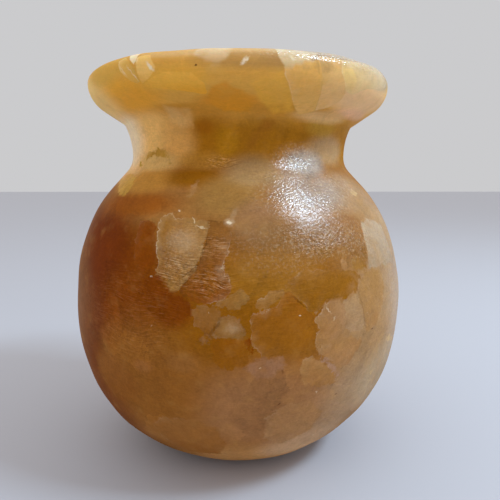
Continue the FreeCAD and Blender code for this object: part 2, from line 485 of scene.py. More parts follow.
# %% [markdown]
# ## Where the stone changes: a map on the surface
#
# The crystals that tell this vase from any other are drawn, as one would mark them on
# the stone with a pencil: by the angle round from the front, to the right positive, and by the
# height over the table. Each crystal is a polygon. The mesh stores how far each point lies
# inside or outside the nearest one, and the shader cuts the crisp, jagged edge from that
# distance, so the edge is far sharper than the mesh. Between them lie soft zones of colour,
# which are laid over each other from large to small like strokes of an airbrush. Behind, the
# map is only half as strong, and the chance pattern of the block shows through it.

# %% Places on the outside
TINY = 1e-6
BLANK = "#94602a"
WIDEST_AT = 38.7
outside_rows = np.flatnonzero(~inner)
climb = outside_rows[out_path[outside_rows] > SIZES["foot_diameter"] / 2 - FOOT_STEP]
climb_z = np.maximum.accumulate(out_z[climb] + np.arange(len(climb)) * TINY)


def path_at(height):
    """The distance walked along the outline where the outside reaches a height."""
    return np.interp(height, climb_z, out_path[climb])


def radius_at(height):
    """The outside's radius at a height."""
    return np.interp(height, climb_z, out_r[climb])


def mm_a_degree(heights):
    """How far round the outside one degree goes at the mean radius of some heights."""
    return math.radians(1) * float(np.mean(radius_at(heights)))


def reach(turn, height, half_width, half_height):
    """How far each point lies from the middle of a soft place, where 1 is the place's edge."""
    across = (point_turn - turn + FULL_TURN / 2) % FULL_TURN - FULL_TURN / 2
    return np.hypot(across / half_width, (point_path - path_at(height)) / half_height)


point_turn = np.degrees(ring_turn).ravel()
point_path = ring_path.ravel()
point_inner = ring_inner.ravel()
print("the belly is widest at a walk of", round(float(path_at(WIDEST_AT)), 1), "mm")

# %% Soft zones, from large to small
# name, angle, height, half width in degrees, half height in mm, colour, strength
ZONES = [
    ("lower belly", 0, 22, 400, 26, "#98622e", 1.0),
    ("belly", 0, 46, 400, 18, "#945a0c", 1.0),
    ("shoulder", 0, 66, 400, 9, "#a06c34", 1.0),
    ("neck", 0, 78, 400, 6.5, "#a86e14", 1.0),
    ("rim", 0, 87.5, 400, 11, "#e2a84c", 1.0),
    ("crease", 0, 83.3, 400, 2.2, "#cd8e34", 0.8),
    ("honey behind on the left", -128, 44, 34, 26, "#96601c", 0.9),
    ("rust cloud behind", 172, 50, 26, 17, "#854408", 0.9),
    ("tan behind on the right", 128, 40, 32, 27, "#a4794a", 0.9),
    ("cream cloud behind", -158, 26, 24, 11, "#ac8658", 0.8),
    ("pale neck behind", 140, 79.5, 34, 7, "#dba65a", 0.9),
    ("amber neck behind", -150, 78, 30, 6, "#b27a20", 0.9),
    ("cream rim behind", 160, 88, 26, 7, "#e2b070", 0.85),
    ("deep gold rim behind", -140, 86, 30, 6, "#dc962c", 0.85),
    ("tan right side", 48, 36, 26, 26, "#a78056", 0.95),
    ("cream right edge", 80, 46, 33, 24, "#b29272", 0.9),
    ("tan upper right", 58, 57, 16, 9, "#ae8658", 0.9),
    ("pinkish lower right", 40, 20, 26, 13, "#aa8866", 0.85),
    ("tan lower middle", 8, 23, 26, 13, "#a17046", 0.8),
    ("golden foot", 6, 6, 40, 11, "#b9824a", 0.9),
    ("tan right shoulder", 51, 66, 20, 7.5, "#ad8860", 0.85),
    # partly painted shade: the left side's rust-brown stone, darkened further for the side turned from the
    # light
    ("rust stone and painted shade on the left side", -62, 44, 38, 27, "#753405", 1.0),
    ("rust middle left", -32, 47, 15, 14, "#834004", 0.9),
    ("orange-brown lower left", -28, 28, 22, 16, "#975e22", 0.95),
    ("red lower left edge", -58, 17, 24, 15, "#7a3e0c", 0.9),
    # partly painted shade: a dark zone of the stone, darkened further on the side turned from the light
    ("dark heart and painted shade on the left", -47, 55, 16, 9, "#763202", 0.9),
    ("orange above it", -40, 64, 22, 4, "#944e06", 0.8),
    # painted reflection: the next two zones paint the pale haze that the room reflects on the left edge
    ("painted reflection on the left edge", -78, 42, 26, 24, "#93663e", 0.65),
    ("painted haze of reflection on the left side", -64, 39, 22, 12, "#8c5e38", 0.4),
    ("left shoulder", -45, 69, 26, 5, "#c08838", 0.9),
    ("yellow shoulder", -68, 71.5, 20, 5, "#ecbc7e", 0.9),
    # partly painted light: the stone's cream, brightened to paint the glow of light through the thin neck
    ("cream neck and painted glow on the left", -50, 79.5, 25, 8, "#efba6a", 1.0),
    ("tan neck on the left", -29, 77.5, 12, 6, "#dba257", 0.8),
    # painted glow along the left edge of the neck
    ("painted glow on the left neck edge", -73, 79.5, 24, 9, "#fde2b8", 0.9),
    ("olive under the neck", -42, 72.6, 18, 2.8, "#d4aa66", 0.85),
    ("dark amber in the neck", -13, 79, 12, 5, "#a4660a", 0.45),
    ("dark spot in the neck", -15, 80, 5, 2, "#9a5806", 0.6),
    ("gold in the neck", -5, 77, 6, 4, "#b67e12", 0.6),
    ("rosy neck on the right", 50, 75.8, 19, 4.2, "#b08e66", 0.85),
    ("orange neck on the right", 62, 80.6, 14, 2.6, "#ae7826", 0.8),
    ("olive neck on the right", 42, 80.5, 12, 2.6, "#b58c34", 0.6),
    ("dark amber in the shoulder", -18, 69.4, 15, 3.4, "#915a00", 0.85),
    ("brown breast", -4, 66, 14, 6.5, "#9a7038", 0.9),
    # painted sheen: the next two zones paint the greyish haze of the highlight around the bright patch
    ("painted sheen on the breast", 5, 61, 9, 5.5, "#9a6f48", 0.8),
    ("painted sheen under the bright patch", 18, 57.5, 21, 6, "#8a602e", 0.65),
    ("amber middle", 9, 50.5, 17, 6, "#9a651a", 0.85),
    # partly painted light: the stone's gold, brightened to paint light through the thin flare, then a
    # painted glow on the rim's left edge
    ("deep gold rim and painted glow on the left", -44, 86, 20, 5.5, "#f0aa3a", 0.95),
    ("painted glow on the left rim edge", -71, 86.5, 22, 8, "#fcce7e", 0.9),
    ("rim top on the left", -51, 91.2, 15, 3, "#dba84a", 0.8),
    ("bright gold rim", -20, 88, 13, 3, "#edb044", 0.8),
    ("cream rim top", 2, 93, 44, 1.6, "#dcb684", 0.6),
    ("deep gold over the neck", -3, 84.6, 14, 2.4, "#dc912a", 0.85),
    ("peach rim on the right", 54, 86.6, 28, 6, "#f0c490", 0.9),
    ("grey-cream rim top", 57, 91.2, 17, 2.6, "#a8967a", 0.9),
    ("rosy rim underside", 60, 84, 20, 2, "#f0bc92", 0.75),
    ("light crease on the right", 40, 82.8, 20, 2, "#e2b478", 0.85),
    ("rim top on the right", 27, 91.6, 23, 2.4, "#84684c", 0.75),
    ("rim top in front", 4, 91.4, 20, 2.2, "#b88a4e", 0.75),
    ("gold under the neck", -16, 72.8, 16, 2.6, "#b8812e", 0.6),
    # partly painted highlight: sanded skin, greyed to paint the colour of the shoulder and neck highlights
    ("sanded skin and painted sheen in the highlight", 28, 67.5, 18, 7.5, "#a0948a", 0.6),
    ("sanded skin and painted sheen in the neck", 33, 72.6, 14, 3.4, "#a29c94", 0.68),
    # partly painted highlight: a rough lip, paled to paint the highlight along its top
    ("rough lip and painted highlight", 38, 93.5, 30, 1.0, "#c2b8aa", 0.7),
    ("pale underside", 27, 10, 22, 8, "#c8a07a", 0.65),
    ("amber under the belly on the right", 57, 12, 17, 7, "#a87a4c", 0.7),
    ("pale upper breast", 6, 70.5, 14, 5, "#a98a5e", 0.65),
    ("dark under the belly on the left", -40, 8, 30, 5, "#86500f", 0.6),
    ("tan lower right", 54, 25, 17, 10, "#b29878", 0.6),
    ("pale patch", -15, 33.5, 6, 2.6, "#9c6630", 0.7),
    ("second pale patch", -28, 31.5, 4, 1.6, "#9d6434", 0.55),
    ("rust under the pale crystal", -18, 44, 7, 4.5, "#803a03", 0.8),
]
ZONE_EDGE = (0.45, 1.15)
BACK = (78, 112)
BACK_COVER = 0.5


def strokes(zones):
    """Lays each soft zone over those before it; alpha says how much of the map a point shows."""
    colour = np.tile(linear(BLANK), (len(point_turn), 1))
    for _, turn, height, half_width, half_height, paint, strength in zones:
        share = 1 - ease(reach(turn, height, half_width, half_height), *ZONE_EDGE)
        share = (strength * share)[:, None]
        colour = colour * (1 - share) + np.array(linear(paint)) * share
    cover = 1 - (1 - BACK_COVER) * ease(np.abs(point_turn), *BACK)
    colour[:, 3] = cover * ~point_inner
    return colour


zone_colour = strokes(ZONES)
print("points under the map:", int((zone_colour[:, 3] > BACK_COVER).sum()))

# %% Crystals, layer by layer
# layer, name, colour at the start, colour at the end, direction of the change in degrees (0 to
# the right, 90 up), softness of the edge, light (+) or dark (-) line on the edge, and the
# corners: angle, height, angle, height and so on
FACETS = [
    (1, "rim facet with streaks", "#efbe60", "#e3b25c", 0, 1.0, 0.25,
     [-41.2, 92.6, -38.5, 93.2, -35.8, 92, -33.4, 90.2, -32.6, 88, -33.6, 87.8, -36, 88.3, -38.5, 89.6,
      -40.2, 90.7]),
    (1, "gold band", "#efab34", "#f3b850", 90, 1.0, 0.0,
     [-27.4, 88.7, -22, 89.4, -14, 88.9, -10.6, 87, -10.4, 85.3, -20, 86.2, -30, 86.9, -32.4, 87.4, -30,
      87.9]),
    (1, "dark gold facet", "#dc942a", "#e29c38", 90, 2.0, 0.0,
     [-10.4, 85.4, -8.6, 86.5, -4, 87.4, -1.8, 86.4, 1.5, 86, 5, 84.2, 4, 82.8, -6, 82.9, -10.4, 84]),
    (1, "gold left of the first curve", "#e2a63c", "#e8ae4c", 90, 2.0, 0.0,
     [3.4, 87.2, 8, 88.6, 12.8, 89.2, 15, 87.4, 18, 85.4, 21, 83.8, 23, 82.9, 14, 82.6, 7.6, 84.6]),
    (1, "facet past the second curve", "#ecbc7c", "#deae68", 120, 1.0, 0.16,
     [24, 92.6, 24.6, 90.5, 25.6, 88.8, 27, 86.9, 29, 85.2, 31.6, 83.5, 36.5, 84.3, 39, 85.6, 38, 87, 36,
      88.8, 34.8, 90.4, 34.4, 92.6]),
    (1, "dark top of the olive patch", "#bc8a34", "#bc8c36", 0, 1.2, -0.05,
     [-53, 73.3, -50.2, 74.8, -48, 75.2, -45, 75.1, -41.5, 75.7, -40, 75.3, -37, 75.2, -35, 74.9, -33, 73.6,
      -33.3, 72.4, -35.2, 73.9, -40, 74.2, -44, 74.3, -49, 73.8, -51.6, 72.9]),
    (1, "yellow shoulder band", "#d8a45c", "#c69a40", 0, 1.8, 0.0,
     [-68, 70, -60, 70.6, -52, 69.6, -48.6, 67.5, -48.8, 65.4, -52, 65.4, -57, 66.3, -63, 67.6, -68, 68]),
    (1, "dark diagonal in the neck", "#a2681a", "#a0641a", 0, 3.0, 0.0,
     [11, 81.4, 15.5, 81, 14, 79.8, 9, 77.4, 6, 75.4, 3.6, 75.6, 6.5, 78.6]),
    (1, "striated fragment", "#8e4c0c", "#8e5c26", 90, 0.8, -0.34,
     [-9.3, 61, -2.2, 60.4, -2.3, 57, -3, 54.5, -4.4, 52.6, -4.3, 51.4, -2.6, 50.4, -1.8, 48.4, -3.6, 46.4,
      -8, 45.2, -13, 46, -16.4, 47.6, -16.2, 48.4, -12, 52.2, -10.3, 55, -9.6, 58]),
    (1, "big amber crystal", "#9a601a", "#96580e", 90, 0.8, 0.16,
     [3.2, 38, 3, 41, 3.6, 43.8, 7.5, 44.4, 10, 45.2, 12.5, 47.8, 14, 47.4, 17, 44.6, 18.6, 43.4, 20.4, 42.8,
      20.8, 41, 21.4, 39.5, 21, 37.5, 20.6, 36.4, 19, 35.4, 15, 35.1, 10, 35.6, 6.8, 34.4, 5.6, 36]),
    (1, "golden brown by the line", "#ac8660", "#a88258", 90, 1.0, 0.0,
     [28, 43, 29.4, 44.6, 31, 45, 34.8, 45.7, 36, 45.2, 37.5, 42.5, 38.5, 40.5, 39.4, 38, 35, 38.1, 30, 39.2,
      28.6, 41.8]),
    (1, "cream past the brown", "#a98d6e", "#b99d7e", 90, 1.7, 0.1,
     [45.6, 59.8, 52, 60.4, 62, 58.5, 63, 50, 50, 50.2, 42.6, 50.4, 44, 53, 44.2, 55, 44.6, 57.5]),
    (1, "lower tan", "#a8743e", "#ae7e4a", 90, 1.6, 0.06,
     [17, 31.4, 18, 34.4, 21, 34, 25, 32.4, 28, 30.9, 29.8, 29.3, 30.4, 27.4, 25, 27, 19, 28.6]),
    (1, "orange pane", "#985c12", "#96560a", 90, 1.2, 0.0,
     [-7, 38.8, 1.4, 38.9, 2.6, 36.4, 2.8, 33.4, -3, 32.4, -6.6, 34]),
    (1, "left pane", "#8a4606", "#854004", 0, 1.2, 0.05,
     [-33.6, 60.6, -27.2, 60.6, -26.4, 59.6, -25.2, 55.5, -24.5, 53.5, -25.2, 51.6, -30, 50.8, -32, 53, -33,
      56.5]),
    (1, "rounded pane low in front", "#945a22", "#9e6832", 90, 1.8, 0.06,
     [-30, 17, -24, 20, -14, 20.5, -6, 18, -4, 13, -8, 9, -20, 8, -29, 12]),
    (1, "low pane on the right", "#ab7d50", "#a8784a", 90, 1.8, 0.06,
     [8, 21, 14, 24, 22, 24, 28, 20, 26, 15, 16, 12, 9, 15]),
    (1, "low pane on the left", "#8c5218", "#955c26", 90, 3.6, 0.0,
     [-50, 30, -42, 33, -34, 31, -30, 26, -34, 22, -44, 21, -50, 25]),
    (1, "rosy streak", "#a67846", "#ac7e4e", 90, 1.6, 0.0,
     [-18, 65.4, -16.6, 68.8, -15.7, 68.6, -15.6, 66.6, -16.6, 65.2]),
    (2, "cream wedge", "#ffeccb", "#ffe2ae", 0, 1.0, 0.0,
     [-38, 93.8, -33, 93.8, -32.8, 92, -33.4, 91.2, -35.6, 92.4]),
    (2, "bright facet", "#f3bd62", "#fbcb76", 90, 1.2, 0.0,
     [-32.6, 92.8, -28, 93, -25.6, 90.2, -28.4, 88.6, -32, 87.8, -32.8, 89.8]),
    (2, "cream patch on top", "#d8ac70", "#e6cca4", 90, 1.8, 0.0,
     [-13.4, 92.2, -12, 93.8, -1.4, 93.8, -3.2, 91.5, -6, 90.3, -9, 90.9, -10.6, 91.5]),
    (2, "small cream patch", "#dfa84e", "#e0ac58", 90, 2.2, 0.0,
     [-9.8, 90.3, -6.4, 90.2, -4.4, 89.2, -4.8, 88.3, -9.3, 88.5]),
    (2, "second cream patch", "#dab67e", "#ead6b4", 90, 1.4, 0.0,
     [11, 93.8, 25, 93.4, 22.4, 92, 19.6, 91, 17, 90.2, 14, 90, 11.8, 91.6]),
    (2, "big cream crystal", "#e8c27e", "#d0b896", 60, 0.9, 0.16,
     [33, 92.6, 33.2, 90.4, 35.5, 88.8, 37.5, 87.3, 40, 87, 42, 86.9, 45, 87.8, 49, 88.6, 60, 89, 66, 91, 54,
      93.4]),
    (2, "grey-cream cloud", "#deac68", "#d6a25a", 0, 2.6, 0.0,
     [-31.4, 81.4, -29, 80.7, -25, 80.1, -21, 80.1, -19.8, 81.6, -19.6, 83.4, -24, 83.4, -30, 84]),
    (2, "facet past the first curve", "#e9b566", "#e8b05c", 90, 1.0, 0.26,
     [13, 89.5, 16.8, 91, 24.6, 92, 25.4, 90.5, 26.3, 88.8, 27.8, 86.8, 29.8, 85.1, 32.4, 83.3, 25.6, 82.7,
      21.4, 83.9, 18.3, 85.5, 15.4, 87.4]),
    (2, "pale crystal", "#98641e", "#ac804a", 0, 0.7, 0.26,
     [-26.2, 60.1, -25.6, 61.6, -22.4, 62.2, -20, 61.2, -13, 61.3, -10, 60.8, -9.4, 59.6, -9.6, 58, -10.3,
      55, -12, 52.2, -14, 50, -16.6, 48, -17.2, 47.4, -19, 47.7, -20, 48.7, -22, 50, -22.5, 51, -24.6, 51.2,
      -23.8, 52.2, -24, 54, -24.7, 55.6, -25.2, 57.6]),
    (2, "tan pane under the fragment", "#98652a", "#a07238", 0, 1.2, 0.1,
     [-6.6, 45.8, -3.4, 46.6, -1.6, 48, 0.5, 48.4, 2.4, 47, 2.2, 45.7, 0, 44.5, -2, 44.8, -4, 44.9, -6.6,
      45.1]),
    (2, "tan tip over the amber", "#9c6a30", "#a07038", 90, 1.1, 0.1,
     [3.8, 44.6, 7.4, 44.8, 9.8, 45.6, 12, 47.6, 9, 48, 4.6, 46]),
    (2, "amber pane on the right", "#8f5a10", "#96601a", 90, 1.2, 0.08,
     [14.2, 47.6, 12.6, 49, 16, 51.2, 24, 51.4, 36, 50.4, 38, 49.4, 36, 46.4, 31, 45.2, 29.3, 45, 27, 45.9,
      24.2, 45.4, 22.4, 43.9, 20.6, 43.2, 18.8, 43.7, 17.2, 44.9]),
    (2, "greyish crystal", "#a3723e", "#ac8056", 0, 0.9, 0.16,
     [20.9, 42.5, 22.2, 42.9, 24.3, 44.9, 26, 45.5, 28, 45.5, 29.4, 44.7, 30.8, 43, 31.2, 40.6, 30.4, 38.2,
      28.4, 37.2, 25.4, 36.6, 21.4, 36, 21, 37.2, 21.8, 39.5, 21.2, 41.4]),
    (2, "tan right of the dark line", "#a87a4a", "#a67a46", 90, 1.2, -0.08,
     [36.2, 46.4, 38.4, 48.8, 41, 49.5, 44, 49.9, 49, 49.4, 50.5, 46, 48, 42, 46, 38.6, 41, 37, 39.8, 37,
      39.2, 39, 38, 41.5, 36.8, 43.6]),
    (2, "small amber crystal", "#925c24", "#986630", 90, 1.0, 0.12,
     [-12.6, 44, -11, 45.2, -6, 45, -5, 43.6, -7.4, 39.8, -9, 39.6, -11.4, 41]),
    (2, "small pale crystal", "#946836", "#926028", 90, 1.3, 0.1,
     [-7, 39.1, -5.2, 42.4, -3.6, 43.4, -1, 43.2, 0.8, 41.6, 1.8, 40.1, 2.5, 39.1, 0, 38.9, -3, 39]),
    (2, "brown pane by the cream", "#88560f", "#98683a", 90, 1.6, 0.0,
     [30, 61, 38, 61.6, 45.6, 60.8, 44.8, 58.4, 43.5, 56.2, 43.9, 54, 42.6, 51.8, 41, 50.3, 36, 53, 33, 54,
      31, 56]),
    (2, "tan pane below", "#a8784c", "#a97a48", 90, 1.7, 0.08,
     [21.6, 36, 27, 37.3, 29, 37.6, 35, 36.7, 38.5, 35.4, 36, 33, 33, 31, 30.7, 30.4, 26, 32.9, 22.6, 34.6]),
    (2, "rose cloud", "#a0704c", "#a2724e", 0, 2.2, 0.0,
     [1.6, 32.8, 4.6, 34.6, 12, 34.9, 13, 33, 9, 30.6, 5, 30.4]),
    (2, "red-brown under the pale crystal", "#7c3802", "#824203", 240, 1.3, 0.0,
     [-23, 50.5, -20.2, 48.5, -17.4, 47, -13.6, 45.6, -12.8, 44, -13.5, 42.6, -20, 41.6, -28, 44.5, -30,
      48.6]),
    (3, "ragged patch", "#946232", "#986838", 0, 1.5, 0.05,
     [-10.6, 37.9, -10.3, 39.3, -7.8, 39.4, -7, 38.8, -8, 37.9, -9.5, 37.5]),
    (3, "dark corner", "#863e00", "#884200", 0, 1.2, 0.0,
     [1.6, 38.6, 2.8, 39, 3.4, 37, 3.8, 35.8, 2.4, 36.2]),
    (3, "dark chip", "#92601c", "#90601e", 0, 1.6, 0.0,
     [20.6, 55.2, 24, 55.9, 28, 55.1, 27, 53.7, 23, 53.4]),
    (3, "pale streak", "#a87e62", "#ab8266", 0, 1.5, 0.0,
     [21.8, 34.7, 25.5, 33.3, 28.8, 31, 30.8, 28.4, 30.2, 28.2, 27.4, 30.6, 24.4, 32.6]),
    (3, "milky core", "#a57c4e", "#a2764a", 0, 2.6, 0.0,
     [-4, 40.4, -2.4, 42.6, -0.6, 42.4, 0.4, 41, -1, 40]),
    (3, "bump on the right shoulder", "#c6a26c", "#ccaa78", 0, 1.6, 0.0,
     [50.5, 67, 54.5, 67, 57, 66, 53.5, 65.3, 50.8, 65.7]),
    (3, "yellow corner", "#ecc478", "#ecc680", 0, 1.6, 0.0,
     [33.6, 91.4, 34, 90, 36.4, 88.4, 41, 87.4, 41, 89.4, 38, 91.4]),
    (3, "mark on the shoulder", "#b68a24", "#bd9232", 0, 1.0, 0.0,
     [-60.5, 73.2, -57, 73, -53, 72.2, -53.4, 71.8, -57, 72.3, -60.5, 72.7]),
    (3, "gold chip", "#98682c", "#9c6c30", 0, 2.0, 0.05,
     [34.4, 51, 36, 53.1, 38, 53.1, 40.6, 51, 40.8, 50.4, 36, 50.4]),
    (3, "pale chip", "#ac7e4e", "#a87848", 0, 1.2, 0.0,
     [30.2, 52.8, 32.4, 52.8, 33.7, 51, 31.6, 50.5]),
    (3, "pale smear", "#c9a26c", "#c49a62", 0, 1.8, 0.0,
     [52, 33.8, 57, 33.4, 62, 31.9, 62, 31, 55, 32.4]),
    (3, "second pale smear", "#bd9a68", "#c2a070", 0, 1.8, 0.0,
     [44.6, 27.9, 47.4, 26.6, 48.4, 25.8, 46.6, 26]),
]


def inside_by(turns, heights):
    """How far each point lies inside a polygon on the surface, in millimetres; outside is negative."""
    scale = mm_a_degree(heights)
    corner_x, corner_y = turns * scale, path_at(heights)
    across = point_turn * scale
    best = np.full(len(across), np.inf)
    within = np.zeros(len(across), bool)
    for i in range(len(corner_x)):
        ax, ay = corner_x[i - 1], corner_y[i - 1]
        side_x, side_y = corner_x[i] - ax, corner_y[i] - ay
        from_x, from_y = across - ax, point_path - ay
        share = (from_x * side_x + from_y * side_y) / (side_x ** 2 + side_y ** 2)
        share = np.clip(share, 0, 1)
        best = np.minimum(best, np.hypot(from_x - share * side_x, from_y - share * side_y))
        if side_y:
            crosses = (ay > point_path) != (corner_y[i] > point_path)
            within ^= crosses & (across < ax + from_y * side_x / side_y)
    return np.where(within, best, -best)


EDGE_WIDTH = 0.13
FAR_OUTSIDE = -9.0
LIT_SIDE = np.array([-0.94, 0.34])


def draw_facets(facets):
    """One layer: for each point its depth in the nearest crystal, the colour, line and edge width."""
    inside = np.full(len(point_turn), FAR_OUTSIDE)
    width = np.full(len(point_turn), EDGE_WIDTH)
    colour = np.tile(linear(BLANK), (len(point_turn), 1))
    line = np.zeros(len(point_turn))
    for _, _, from_colour, to_colour, direction, softness, edge, corners in facets:
        turns, heights = np.reshape(corners, (-1, 2)).T
        depth = inside_by(turns, heights)
        nearer = depth > inside
        inside = np.where(nearer, depth, inside)
        width = np.where(nearer, EDGE_WIDTH * softness ** 2, width)

        # The colour changes from one end of the crystal to the other.
        points = np.column_stack([point_turn * mm_a_degree(heights), point_path])
        ends = np.column_stack([turns * mm_a_degree(heights), path_at(heights)])
        aim = np.array([math.cos(math.radians(direction)), math.sin(math.radians(direction))])
        share = (points @ aim - (ends @ aim).min()) / np.ptp(ends @ aim)
        share = np.clip(share, 0, 1)[:, None]
        paint = np.array(linear(from_colour)) * (1 - share) + np.array(linear(to_colour)) * share
        colour = np.where(nearer[:, None], paint, colour)

        # The line on the edge is light on the side that faces the light, and dark on the other.
        away = points - ends.mean(0)
        facing = away @ LIT_SIDE / np.maximum(np.hypot(*away.T), TINY)
        line = np.where(nearer, edge * facing, line)
    inside[point_inner] = FAR_OUTSIDE
    return inside, colour, line, width


layers = [draw_facets([row for row in FACETS if row[0] == number]) for number in (1, 2, 3)]
print("crystals drawn:", len(FACETS), "in", len(layers), "layers")

# %% [markdown]
# Scratches from sanding, the rough skin that the wax lies on, and crinkles where the stone was
# bruised are also places on the surface. Each point gets a share of them, from soft zones
# without a colour.

# %% Worn places
# name, angle, height, half width in degrees, half height in mm, strength
SCRATCHED = [
    ("foot of the pale crystal", -17.5, 51.5, 8, 4.6, 1.05),
    ("striated fragment", -8, 49.5, 8, 4, 1.0),
    ("above the striated fragment", -7, 56, 6, 4, 0.8),
    ("pale crystal", -17, 57, 8, 6, 0.4),
    ("under the neck", -8, 72.6, 9, 1.8, 0.9),
    ("breast", 0, 64, 20, 7, 0.16),
    ("wrinkled root of the neck", 22, 70, 22, 2.4, 0.45),
    ("amber middle", 10, 50, 22, 9, 0.25),
    ("left belly", -34, 42, 24, 13, 0.36),
    ("bright neck", 28, 73, 18, 4.5, 0.3),
    ("whole front", 0, 50, 70, 40, 0.08),
]
ROUGH = [
    ("bright patch on the shoulder", 27, 66, 23, 8.5, 1.0),
    ("bright neck", 29, 73, 15, 4, 1.1),
    ("under the bright patch", 28, 58.5, 17, 5, 0.42),
    ("brown pane", 38, 57.5, 11, 6, 0.3),
    ("skin of the pale crystal", -17, 56, 8, 6, 0.3),
    ("right shoulder", 44, 68, 16, 5, 0.6),
    ("sparkling skin on the amber", 14, 56, 22, 6.5, 0.32),
    ("right edge", 62, 48, 13, 26, 0.35),
    ("shoulder all round", 190, 64, 95, 16, 0.25),
    ("top of the rim on the right", 38, 93.0, 42, 1.8, 1.1),
]
CRINKLED = [
    ("under the bright patch", 28, 57, 18, 4.2, 1.0),
    ("brown pane", 38, 56.5, 11, 5.5, 0.9),
    ("top of the rim on the right", 38, 93.0, 42, 1.8, 0.3),
]
WORN_EDGE = (0.35, 1.2)


def share_of(places):
    """How strongly each point belongs to any of some soft places."""
    total = np.zeros(len(point_turn))
    for _, turn, height, half_width, half_height, strength in places:
        share = 1 - ease(reach(turn, height, half_width, half_height), *WORN_EDGE)
        total = np.maximum(total, strength * share)
    return total * ~point_inner


print("worn places:", len(SCRATCHED) + len(ROUGH) + len(CRINKLED))

# %% Store the map in the mesh
def store(name, kind, values, last):
    """Writes one value a point into the mesh; the foot's and the floor's centre get the last ones."""
    part = "color" if kind == "FLOAT_COLOR" else "value"
    attribute = vase_mesh.attributes.new(name, kind, "POINT")
    attribute.data.foreach_set(part, np.concatenate([values, last]).astype(np.float32).ravel())


store("zone", "FLOAT_COLOR", zone_colour, np.zeros((2, 4)))
for number, (inside, colour, line, width) in enumerate(layers, start=1):
    store(f"facet_{number}", "FLOAT_COLOR", colour, np.ones((2, 4)))
    store(f"facet_{number}_depth", "FLOAT", inside, [FAR_OUTSIDE] * 2)
    store(f"facet_{number}_line", "FLOAT", line, [0.0] * 2)
    store(f"facet_{number}_width", "FLOAT", width, [EDGE_WIDTH] * 2)
for name, places in (("scratched", SCRATCHED), ("rough", ROUGH), ("crinkled", CRINKLED)):
    store(name, "FLOAT", share_of(places), [0.0] * 2)
store("hollow", "FLOAT", point_inner.astype(float), [0.0, 1.0])
print("stored:", [a.name for a in vase_mesh.attributes if not a.name.startswith(".")])

# %% [markdown]
# ## The stone
#
# Honey calcite, carved, sanded and waxed. Calcite splits along flat planes, so a broken or a
# sawn face is a mosaic of grains 4 to 10 mm wide with ragged borders. Each grain turns its
# planes another way and so has a tone of its own, and many show fine parallel streaks. Light
# goes a few millimetres in, which softens all shadows and makes thin edges glow. Wax over
# sanding gives a satin gloss that breaks into sparks wherever the skin is rough.
#
# All patterns are noise in real millimetres. A first pair of noises pushes the coordinates
# about, finely so that the borders of the grains fray, and widely so that their rows bend.

# %% The stone: coordinates
stone = bpy.data.materials.new("honey calcite, carved and waxed")
stone.use_nodes = True
tree = stone.node_tree
tree.nodes.clear()

metres = add("TexCoord").outputs["Object"]
place = add("VectorMath", {0: metres, "Scale": 1 / MM}, "SCALE")


def pushed(start, width, push, detail, roughness, middle):
    """Coordinates pushed about by a noise; where the noise has its middle value they stay."""
    noise = {"Vector": place, "Scale": 1 / width, "Detail": detail, "Roughness": roughness}
    noise = add("TexNoise", noise).outputs["Color"]
    away = add("VectorMath", (noise, (middle, middle, middle)), "SUBTRACT")
    away = add("VectorMath", {0: away, "Scale": push}, "SCALE")
    return add("VectorMath", (start, away), "ADD")


frayed = pushed(place, width=2.4, push=2.6, detail=4.0, roughness=0.68, middle=0.5)
warped = pushed(frayed, width=30.0, push=14.0, detail=0.0, roughness=0.5, middle=0.0)
print("nodes for the coordinates:", len(tree.nodes))

# %% [markdown]
# The clouds of the stone come in many sizes. Some are tones, and some say where another
# pattern is strong: the drawn crystals and their edges, for example, are never equally clear.

# %% The stone: clouds of many sizes
# name: coordinates, width in mm, detail, roughness, noise from and to, value from and to, course
CLOUDS = {
    "block": (warped, 34.0, 2.5, 0.55, 0.0, 1.0, 0.0, 1.0, "LINEAR"),
    "fraying": (place, 1.5, 3.0, 0.65, 0.0, 1.0, -1.3, 1.3, "LINEAR"),
    "patchy cover": (warped, 3.2, 2.0, 0.6, 0.32, 0.55, 0.5, 1.0, "LINEAR"),
    "strong grains": (place, 17.0, 1.0, 0.5, 0.38, 0.6, 0.2, 0.95, "LINEAR"),
    "wide mottling": (warped, 6.0, 2.0, 0.6, 0.25, 0.75, -0.08, 0.08, "LINEAR"),
    "narrow mottling": (warped, 1.5, 3.0, 0.6, 0.25, 0.75, -0.07, 0.07, "LINEAR"),
    "grit": (place, 0.5, 2.0, 0.6, 0.25, 0.75, -0.24, 0.24, "LINEAR"),
    "milk": (place, 4.5, 3.0, 0.6, 0.5, 0.8, 0.0, 0.2, "SMOOTHSTEP"),
    "broken light": (place, 2.2, 1.0, 0.5, 0.4, 0.62, 0.25, 1.6, "LINEAR"),
    # painted sparkle specks: light scattered by the rough skin, painted as pale specks
    "painted sparkle specks": (place, 0.55, 2.0, 0.6, 0.5, 0.72, 0.0, 0.36, "LINEAR"),
}
clouds = {}
for name, (where, width, detail, roughness, *values, course) in CLOUDS.items():
    noise = add("TexNoise", {"Vector": where, "Scale": 1 / width, "Detail": detail, "Roughness": roughness})
    clouds[name] = add("MapRange", (noise, *values), course)
print("clouds:", list(clouds))

# %% [markdown]
# Each grain has a tone that also changes across it, because its planes catch the light at a
# slant. The change is the grain's own chance direction, dotted with the place in the grain.

# %% The stone: grains and their tones
GRAIN_WIDTH = 10.0
SMALL_GRAIN_WIDTH = 3.6
BORDER_WIDTH = 0.4
BORDER_TONE = (-0.2, 0.3)
MIDDLE = (0.5, 0.5, 0.5)


